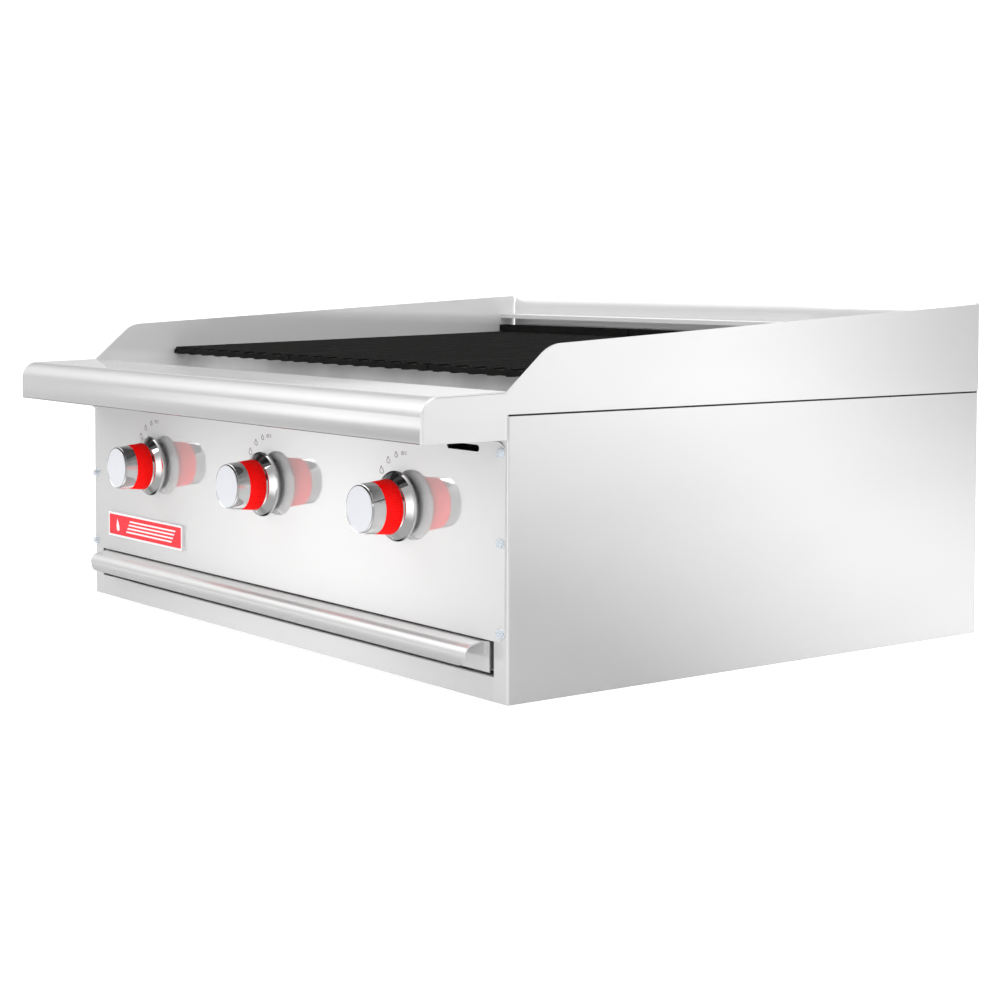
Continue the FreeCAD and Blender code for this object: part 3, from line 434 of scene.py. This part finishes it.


# Painted shade: the back guard turns darker towards its foot.
paint_shade_towards_foot(stainless_guard, guard_high.z - 62 * MM, guard_high.z - 34 * MM, 0.60)
stainless_pull = brushed_stainless("stainless_pull", "X", tone=0.78, gloss=(0.20, 0.24), depth=0.0000008)
pull_low, pull_high = node_box("tray_pull")
bow_inwards(stainless_pull, pull_low.z, pull_high.z - 13 * MM, 1.5 * MM)
for part in ("control_panel", "lower_front_plate", "tray_front"):
    nodes[part].data.materials[0] = stainless_x
for part in ("back_guard", "guard_shelf"):
    nodes[part].data.materials[0] = stainless_guard
nodes["tray_pull"].data.materials[0] = stainless_pull
nodes["front_ledge"].data.materials[0] = stainless_ledge
for part in ("side_panel_left", "side_panel_right"):
    nodes[part].data.materials[0] = stainless_y
nodes["cheek_right"].data.materials[0] = stainless_cheek
nodes["cheek_left"].data.materials[0] = stainless_far_cheek
print("brushed sheets:", stainless_x.name, stainless_y.name, stainless_ledge.name)

# %% [markdown]
# Inner sheets never see a polishing belt. They are the mill's own finish, duller and blotchy, and the
# ones near the fire take on straw and brown heat tints. Real tints come in clouds, so a noise picks the
# stage of heat at each place.

# %% Mill-finish and heat-tinted sheet
def mill_sheet(name, tone=0.5, metallic=0.7, roughness=(0.28, 0.42)):
    """Dull inner sheet with blotches."""
    material, tree = material_with_nodes(name)
    shader = tree.nodes["Principled BSDF"]
    blotches = stretched_noise(tree, (14, 14, 14), detail=5.0)
    fine_noise = stretched_noise(tree, (60, 700, 700), detail=2.0)
    colour = blend_colours(tree, spread(tree, blotches, 0, 1), (tone * 0.86,) * 3, (tone * 1.08,) * 3)
    tree.links.new(colour, shader.inputs["Base Color"])
    tree.links.new(spread(tree, blotches, *roughness), shader.inputs["Roughness"])
    shader.inputs["Metallic"].default_value = metallic
    add_bump(tree, fine_noise, 0.00002, 0.3)
    return material


def heat_tinted_sheet(name):
    """Mill sheet that turns straw and brown towards the fire."""
    material, tree = material_with_nodes(name)
    shader = tree.nodes["Principled BSDF"]
    blotches = stretched_noise(tree, (9, 9, 16), detail=6.0)
    soot = stretched_noise(tree, (40, 40, 25), detail=4.0)
    ramp = new_node(tree, "ShaderNodeValToRGB")
    bare = (0.42, 0.41, 0.40, 1)
    straw = (0.40, 0.34, 0.26, 1)
    brown = (0.24, 0.18, 0.14, 1)
    sooty = (0.13, 0.12, 0.13, 1)
    stages = ramp.color_ramp.elements
    stages[0].color = bare
    stages[1].color = sooty
    stages.new(0.45).color = straw
    stages.new(0.7).color = brown
    tree.links.new(spread(tree, blotches, 0, 1), ramp.inputs["Fac"])
    tree.links.new(ramp.outputs["Color"], shader.inputs["Base Color"])
    tree.links.new(spread(tree, soot, 0.35, 0.6), shader.inputs["Roughness"])
    shader.inputs["Metallic"].default_value = 0.75
    add_bump(tree, soot, 0.00005, 0.3)
    return material


mill = mill_sheet("mill_sheet")
# A lighter copy of the mill sheet: painted light for the inner sheets, which get little light.
bright_mill = mill_sheet("bright_mill_sheet", tone=0.84, metallic=0.4, roughness=(0.12, 0.2))
heat_tinted = heat_tinted_sheet("heat_tinted_sheet")
for part in ("back_panel", "base_plate", "tray_runner_left", "tray_runner_right", "trough_drain_tube"):
    nodes[part].data.materials[0] = mill
# The firebox front gets the lighter mill sheet again (painted light), with painted shade on its down- and
# back-facing faces.
lit_mill_with_painted_shade = mill_sheet("mill_sheet_painted_light_and_shade", tone=0.84, metallic=0.4, roughness=(0.12, 0.2))
paint_shade_on_inner_faces(lit_mill_with_painted_shade, 0.10)
nodes["firebox_front"].data.materials[0] = lit_mill_with_painted_shade
for part in ("grease_trough", "tray_pan"):
    nodes[part].data.materials[0] = bright_mill
hot_parts = ["firebox_rear", "firebox_left", "firebox_right"]
hot_parts += ["radiant_rail_front", "radiant_rail_rear", "burner_rest_rear"]
for part in hot_parts:
    nodes[part].data.materials[0] = heat_tinted
print("inner sheets:", mill.name, bright_mill.name, heat_tinted.name)

# %% [markdown]
# Cast iron keeps the skin of its sand mould: small round grains all over. The grates are seasoned black,
# with a dull sheen on their crests where the oil has polymerised, and the burners and radiants below are
# browner, because heat burns their coating off.

# %% Cast iron
def cast_iron(name, dark, light, roughness, grain_depth, grain_size=700.0):
    """Sand-cast iron, mottled between two colours."""
    material, tree = material_with_nodes(name)
    shader = tree.nodes["Principled BSDF"]
    mottle = stretched_noise(tree, (38, 22, 38), detail=6.0)
    grain = stretched_noise(tree, (grain_size,) * 3, detail=3.0)
    colour = blend_colours(tree, spread(tree, mottle, 0, 1), dark, light)
    tree.links.new(colour, shader.inputs["Base Color"])
    tree.links.new(spread(tree, grain, *roughness), shader.inputs["Roughness"])
    shader.inputs["Metallic"].default_value = 0.0
    shader.inputs["Specular IOR Level"].default_value = 0.12
    add_bump(tree, grain, grain_depth, 0.6)
    return material


grate_iron = cast_iron("seasoned_grate_iron", (0.004, 0.004, 0.004), (0.010, 0.010, 0.009),
                       (0.5, 0.75), 0.0003)
burner_iron = cast_iron("burnt_burner_iron", (0.035, 0.028, 0.024), (0.085, 0.055, 0.038),
                        (0.65, 0.9), 0.0004)
for number in "123":
    nodes["grate_" + number].data.materials[0] = grate_iron
    nodes["burner_" + number].data.materials[0] = burner_iron
    nodes["radiant_" + number].data.materials[0] = burner_iron
print("cast parts:", grate_iron.name, burner_iron.name)

# %% [markdown]
# The small metal parts each have one plain metal with a trace of handling: chrome that is almost a
# mirror, zinc with its bluish passivation, turned brass, drawn aluminium and black-lacquered gas pipe.

# %% Small metals
def plain_metal(name, colour, roughness, metallic=1.0, cell=120.0, depth=0.00001, variation=0.04):
    """Metal of one colour with faint cloudy wear."""
    material, tree = material_with_nodes(name)
    shader = tree.nodes["Principled BSDF"]
    wear = stretched_noise(tree, (cell,) * 3, detail=3.0)
    darker = tuple(c * (1 - variation) for c in colour)
    lighter = tuple(min(c * (1 + variation), 1.0) for c in colour)
    colours = blend_colours(tree, spread(tree, wear, 0, 1), darker, lighter)
    tree.links.new(colours, shader.inputs["Base Color"])
    tree.links.new(spread(tree, wear, roughness[0], roughness[1]), shader.inputs["Roughness"])
    shader.inputs["Metallic"].default_value = metallic
    add_bump(tree, wear, depth, 0.2)
    return material


chrome = plain_metal("knob_chrome", (0.93, 0.93, 0.93), (0.02, 0.05), variation=0.01, depth=0.000004)
zinc = plain_metal("bright_zinc", (0.82, 0.88, 0.96), (0.2, 0.32), metallic=0.6, cell=500.0, variation=0.08)
brass = plain_metal("turned_brass", (0.80, 0.60, 0.27), (0.18, 0.32), cell=260.0, variation=0.08)
drawn_aluminium = plain_metal("drawn_aluminium", (0.78, 0.78, 0.78), (0.22, 0.34), variation=0.06)
turned_steel = plain_metal("turned_steel", (0.58, 0.58, 0.58), (0.2, 0.3), cell=300.0)
pipe_lacquer = plain_metal("black_pipe_lacquer", (0.035, 0.035, 0.037), (0.3, 0.5),
                           metallic=0.0, variation=0.2)
nodes["panel_screws"].data.materials[0] = zinc
nodes["leg_nuts"].data.materials[0] = zinc
nodes["orifice_hoods"].data.materials[0] = brass
nodes["pilot_tubes"].data.materials[0] = drawn_aluminium
for part in ("gas_manifold", "manifold_elbow", "gas_supply_pipe", "gas_inlet_coupling"):
    nodes[part].data.materials[0] = pipe_lacquer
for number in "123":
    nodes["gas_valve_" + number].data.materials[0] = brass
    nodes["valve_stem_" + number].data.materials[0] = turned_steel
    nodes["knob_skirt_" + number].data.materials[0] = chrome
print("small metals done")

# %% [markdown]
# Paint and moulded plastic are coloured right through, so wear hardly shows on them. What tells them from
# a flat colour is a slight mottle and the fine orange-peel relief of the mould or the spray gun. One
# function makes all of them: the red grips, the pearl knob faces, the badge, the dial print and the black
# seam sealant.

# %% Paints, plastics and sealant
def paint(name, colour, roughness, coat=0.0, shine=0.5, cell=60.0,
          variation=0.06, depth=0.00002, grain=400.0):
    """Paint or plastic with a slight orange-peel relief."""
    material, tree = material_with_nodes(name)
    shader = tree.nodes["Principled BSDF"]
    clouds = stretched_noise(tree, (cell,) * 3, detail=2.0)
    peel = stretched_noise(tree, (grain,) * 3, detail=1.0)
    darker = tuple(c * (1 - variation) for c in colour)
    lighter = tuple(min(c * (1 + variation), 1.0) for c in colour)
    colours = blend_colours(tree, spread(tree, clouds, 0, 1), darker, lighter)
    tree.links.new(colours, shader.inputs["Base Color"])
    tree.links.new(spread(tree, peel, roughness[0], roughness[1]), shader.inputs["Roughness"])
    shader.inputs["Specular IOR Level"].default_value = shine
    shader.inputs["Coat Weight"].default_value = coat
    shader.inputs["Coat Roughness"].default_value = 0.05
    add_bump(tree, peel, depth, 0.2)
    return material


# The grips glow a little. That is a stand-in: under this light plain red came out too dark.
knob_red = paint("knob_red", (0.97, 0.001, 0.001), (0.45, 0.6), shine=0.15, variation=0.02)
red_shader = knob_red.node_tree.nodes["Principled BSDF"]
red_shader.inputs["Emission Color"].default_value = (1.0, 0.01, 0.008, 1)
red_shader.inputs["Emission Strength"].default_value = 0.16
knob_white = paint("knob_face_pearl", (0.68, 0.69, 0.73), (0.3, 0.34),
                   shine=0.2, variation=0.01, depth=0.000002)
enamel_red = paint("badge_red_enamel", (0.86, 0.018, 0.035), (0.2, 0.28), coat=0.1, shine=0.3)
badge_white = paint("badge_white", (0.88, 0.88, 0.9), (0.25, 0.35), variation=0.02)
dial_grey = paint("dial_print_grey", (0.05, 0.05, 0.052), (0.5, 0.6), variation=0.15)
sealant = paint("black_sealant", (0.012, 0.012, 0.012), (0.6, 0.8), grain=900.0, depth=0.0001)
nodes["badge_enamel"].data.materials[0] = enamel_red
nodes["seam_gaskets"].data.materials[0] = sealant
nodes["badge_plate"].data.materials[0] = badge_white
print("paints done")

# %% [markdown]
# Each knob is four parts on one stem. The red grip is ribbed lengthwise, too finely for the design model,
# so a ribbed sleeve takes its place: a ring of crests and valleys, drawn out from the front radius to the
# back one. Building the rings in code is easier to control than a displacement texture, and the ribs stay
# real shape in every view.

# %% Ribbed knob grips
def ring_of_ribs(mesh, place, radius_crest, radius_valley, ribs):
    """Ring of vertices about the Y axis at place, two crest and two valley points per rib."""
    rib = ((0.0, radius_valley), (0.25, radius_crest), (0.6, radius_crest), (0.85, radius_valley))
    ring = []
    for i in range(ribs):
        for share, radius in rib:
            angle = 2 * math.pi * (i + share) / ribs
            arm = Vector((radius * math.cos(angle), 0, radius * math.sin(angle)))
            ring.append(mesh.verts.new(place + arm))
    return ring


def skin(mesh, rings):
    """Quads between rings that have the same number of vertices."""
    for lower, upper in zip(rings, rings[1:]):
        count = len(lower)
        for i in range(count):
            mesh.faces.new((lower[i], lower[(i + 1) % count], upper[(i + 1) % count], upper[i]))


def ribbed_grip(number):
    low, high = node_box("knob_grip_" + number)
    axis = (low + high) / 2
    back_radius = (high.x - low.x) / 2
    grip_taper, grip_wall = 2.0 * MM, 7.5 * MM
    front_radius = back_radius - grip_taper
    core_radius = back_radius - grip_wall
    rib_depth, ribs, lip = 0.45 * MM, 84, 0.5 * MM
    length = high.y - low.y

    def build(mesh):
        def station(share, crest_drop, valley_drop):
            radius = front_radius + (back_radius - front_radius) * share
            place = Vector((axis.x, low.y + length * share, axis.z))
            return ring_of_ribs(mesh, place, radius - crest_drop, radius - valley_drop, ribs)

        inner_front = ring_of_ribs(mesh, Vector((axis.x, low.y, axis.z)), core_radius, core_radius, ribs)
        inner_back = ring_of_ribs(mesh, Vector((axis.x, high.y, axis.z)), core_radius, core_radius, ribs)
        lip_share = lip / length
        rings = [inner_front, station(0, lip, lip + rib_depth), station(lip_share, 0, rib_depth),
                 station(1 - lip_share, 0, rib_depth), station(1, lip, lip + rib_depth),
                 inner_back, inner_front]
        skin(mesh, rings)

    piece = add_mesh("knob_grip_ribbed_" + number, build, "knob_" + number, knob_red)
    smooth_by_angle(piece, 50)
    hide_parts("knob_grip_" + number)
    return piece


for number in "123":
    grip = ribbed_grip(number)
    print(grip.name, len(grip.data.polygons), "faces")

# %% [markdown]
# The face of a knob is a pearl-white disc held in a bright bezel. The disc is very slightly domed, which
# is what keeps a flat white face from looking like a hole. Both are turned from an outline of radius and
# height.

# %% Knob faces
def turned(mesh, origin, outline, steps=96):
    """Solid of revolution about the Y axis through origin; the outline holds (radius, y) points."""
    rings = []
    for radius, y in outline:
        if radius < 1e-6:
            rings.append([mesh.verts.new(origin + Vector((0, y, 0)))])
            continue
        ring = []
        for i in range(steps):
            angle = 2 * math.pi * i / steps
            arm = Vector((radius * math.cos(angle), y, radius * math.sin(angle)))
            ring.append(mesh.verts.new(origin + arm))
        rings.append(ring)
    for first, second in zip(rings, rings[1:]):
        for i in range(steps):
            j = (i + 1) % steps
            if len(first) == 1:
                mesh.faces.new((first[0], second[i], second[j]))
            elif len(second) == 1:
                mesh.faces.new((first[i], first[j], second[0]))
            else:
                mesh.faces.new((first[i], first[j], second[j], second[i]))


def knob_face(number):
    low, high = node_box("knob_cap_" + number)
    origin = Vector(((low.x + high.x) / 2, low.y, (low.z + high.z) / 2))
    radius = (high.x - low.x) / 2
    depth = high.y - low.y
    rim = 1.4 * MM
    dome = 0.45 * MM
    face_outline = [(0, 0)]
    for i in range(1, 9):
        share = i / 8
        face_outline.append(((radius - rim) * share, dome * share * share))
    face_outline += [(radius - rim, depth * 0.6), (0, depth * 0.6)]
    bezel_outline = [(radius - rim, depth), (radius - rim, 0.35 * MM), (radius - rim + 0.25 * MM, 0.1 * MM),
                     (radius - 0.9 * MM, 0.0), (radius - 0.3 * MM, 0.55 * MM), (radius, 1.2 * MM),
                     (radius, depth), (radius - rim, depth)]
    face = add_mesh("knob_face_disc_" + number, lambda mesh: turned(mesh, origin, face_outline),
                    "knob_" + number, knob_white)
    bezel = add_mesh("knob_face_bezel_" + number, lambda mesh: turned(mesh, origin, bezel_outline),
                     "knob_" + number, chrome)
    smooth_by_angle(face, 40)
    smooth_by_angle(bezel, 40)
    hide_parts("knob_cap_" + number)
    return face


for number in "123":
    print(knob_face(number).name)

# %% [markdown]
# The dial is printed on the panel: OFF at the top, and a small, a medium and a large flame going round
# against the clock. Print has no thickness to speak of, but a line raised by a tenth of a millimetre
# reads well from any angle and exports as real mesh. Each mark is a narrow ribbon that follows its stroke
# over the panel's face.

# %% Dial marks
panel_front_y = node_box("control_panel")[0].y
flame_line = 0.62 * MM
letter_line = 0.34 * MM
print_height = 0.12 * MM


def ribbon(mesh, stroke, closed, width):
    """Flat raised line along a stroke of (across, up) points on the panel's face."""
    count = len(stroke)
    rings = []
    for i, point in enumerate(stroke):
        before = stroke[(i - 1) % count] if closed or i > 0 else point
        after = stroke[(i + 1) % count] if closed or i < count - 1 else point
        along = (Vector(after) - Vector(before)).normalized()
        aside = Vector((-along.y, along.x)) * width / 2
        front = panel_front_y - print_height
        back = panel_front_y + print_height
        corners = ((aside, front), (aside, back), (-aside, back), (-aside, front))
        rings.append([mesh.verts.new((point[0] + a.x, y, point[1] + a.y)) for a, y in corners])
    if closed:
        rings.append(rings[0])
    else:
        mesh.faces.new(rings[0])
        mesh.faces.new(rings[-1][::-1])
    skin(mesh, rings)


def flame_outline(size, width=0.36, steps=28):
    """Outline of a flame drop of a given height, as (across, up) points."""
    points = []
    for i in range(steps):
        t = 2 * math.pi * i / steps
        up = -math.cos(t) * size / 2
        across = math.sin(t) * math.sin(t / 2) ** 1.6 * size * width
        points.append((across + 0.16 * up, -up))
    return points


def letter_strokes(letter, height):
    """Strokes of O or F, as (across, up) points from the letter's lower left."""
    width = height * 0.72
    if letter == "O":
        loop = []
        for i in range(20):
            t = 2 * math.pi * i / 20
            loop.append((width / 2 + width / 2 * math.cos(t), height / 2 + height / 2 * math.sin(t)))
        return [(loop, True)]
    stem = [(width, height), (0, height), (0, 0)]
    arm = [(0, height * 0.52), (width * 0.8, height * 0.52)]
    return [(stem, False), (arm, False)]


def dial_marks(number):
    low, high = node_box("knob_skirt_" + number)
    hub_x, hub_z = (low.x + high.x) / 2, (low.z + high.z) / 2
    ring = 55.5 * MM
    strokes = []
    for degrees, size in ((16, 6.2 * MM), (33, 7.2 * MM), (51, 8.2 * MM)):
        angle = math.radians(degrees)
        at_x, at_z = hub_x - ring * math.sin(angle), hub_z + ring * math.cos(angle)
        strokes.append(([(at_x + a, at_z + u) for a, u in flame_outline(size, 0.62)], True, flame_line))
    height = 3.9 * MM
    step = height * 1.08
    start = hub_x - step * 1.35
    for i, letter in enumerate("OFF"):
        for points, closed in letter_strokes(letter, height):
            placed = [(start + i * step + a, hub_z + ring - height / 2 + u) for a, u in points]
            strokes.append((placed, closed, letter_line))

    def build(mesh):
        for points, closed, width in strokes:
            ribbon(mesh, points, closed, width)

    return add_mesh("dial_marks_" + number, build, "root", dial_grey)


for number in "123":
    print(dial_marks(number).name)

# %% [markdown]
# The badge carries no name here, only a plain sign that any maker of grills could use: a flame and four
# bars. They are cut from thin sheet, so they are flat shapes with real edges.

# %% Badge sign
def flat_shape(name, outlines, thickness, front_y, material):
    """Thin raised plates on the front, from outlines of (across, up) points."""
    def build(mesh):
        for outline in outlines:
            front = [mesh.verts.new((a, front_y, u)) for a, u in outline]
            back = [mesh.verts.new((a, front_y + thickness, u)) for a, u in outline]
            mesh.faces.new(front)
            mesh.faces.new(back[::-1])
            count = len(outline)
            for i in range(count):
                mesh.faces.new((front[i], back[i], back[(i + 1) % count], front[(i + 1) % count]))
    return add_mesh(name, build, "root", material)


def badge_sign():
    low, high = node_box("badge_enamel")
    middle_z = (low.z + high.z) / 2
    height = (high.z - low.z) * 0.62
    flame_x = low.x + (high.x - low.x) * 0.12
    outlines = [[(flame_x + a, middle_z + u) for a, u in flame_outline(height)]]
    bar_start = low.x + (high.x - low.x) * 0.24
    bar_end = low.x + (high.x - low.x) * 0.92
    bar_height = height * 0.13
    for i in range(4):
        z = middle_z + (i - 1.5) * height * 0.29
        lean = height * 0.2
        left = bar_start + i * lean
        right = bar_end - (3 - i) * lean
        bottom = z - bar_height / 2
        top = z + bar_height / 2
        outlines.append([(left, bottom), (right, bottom), (right + lean / 2, top), (left + lean / 2, top)])
    return flat_shape("badge_sign", outlines, 0.25 * MM, low.y - 0.15 * MM, badge_white)


print(badge_sign().name)
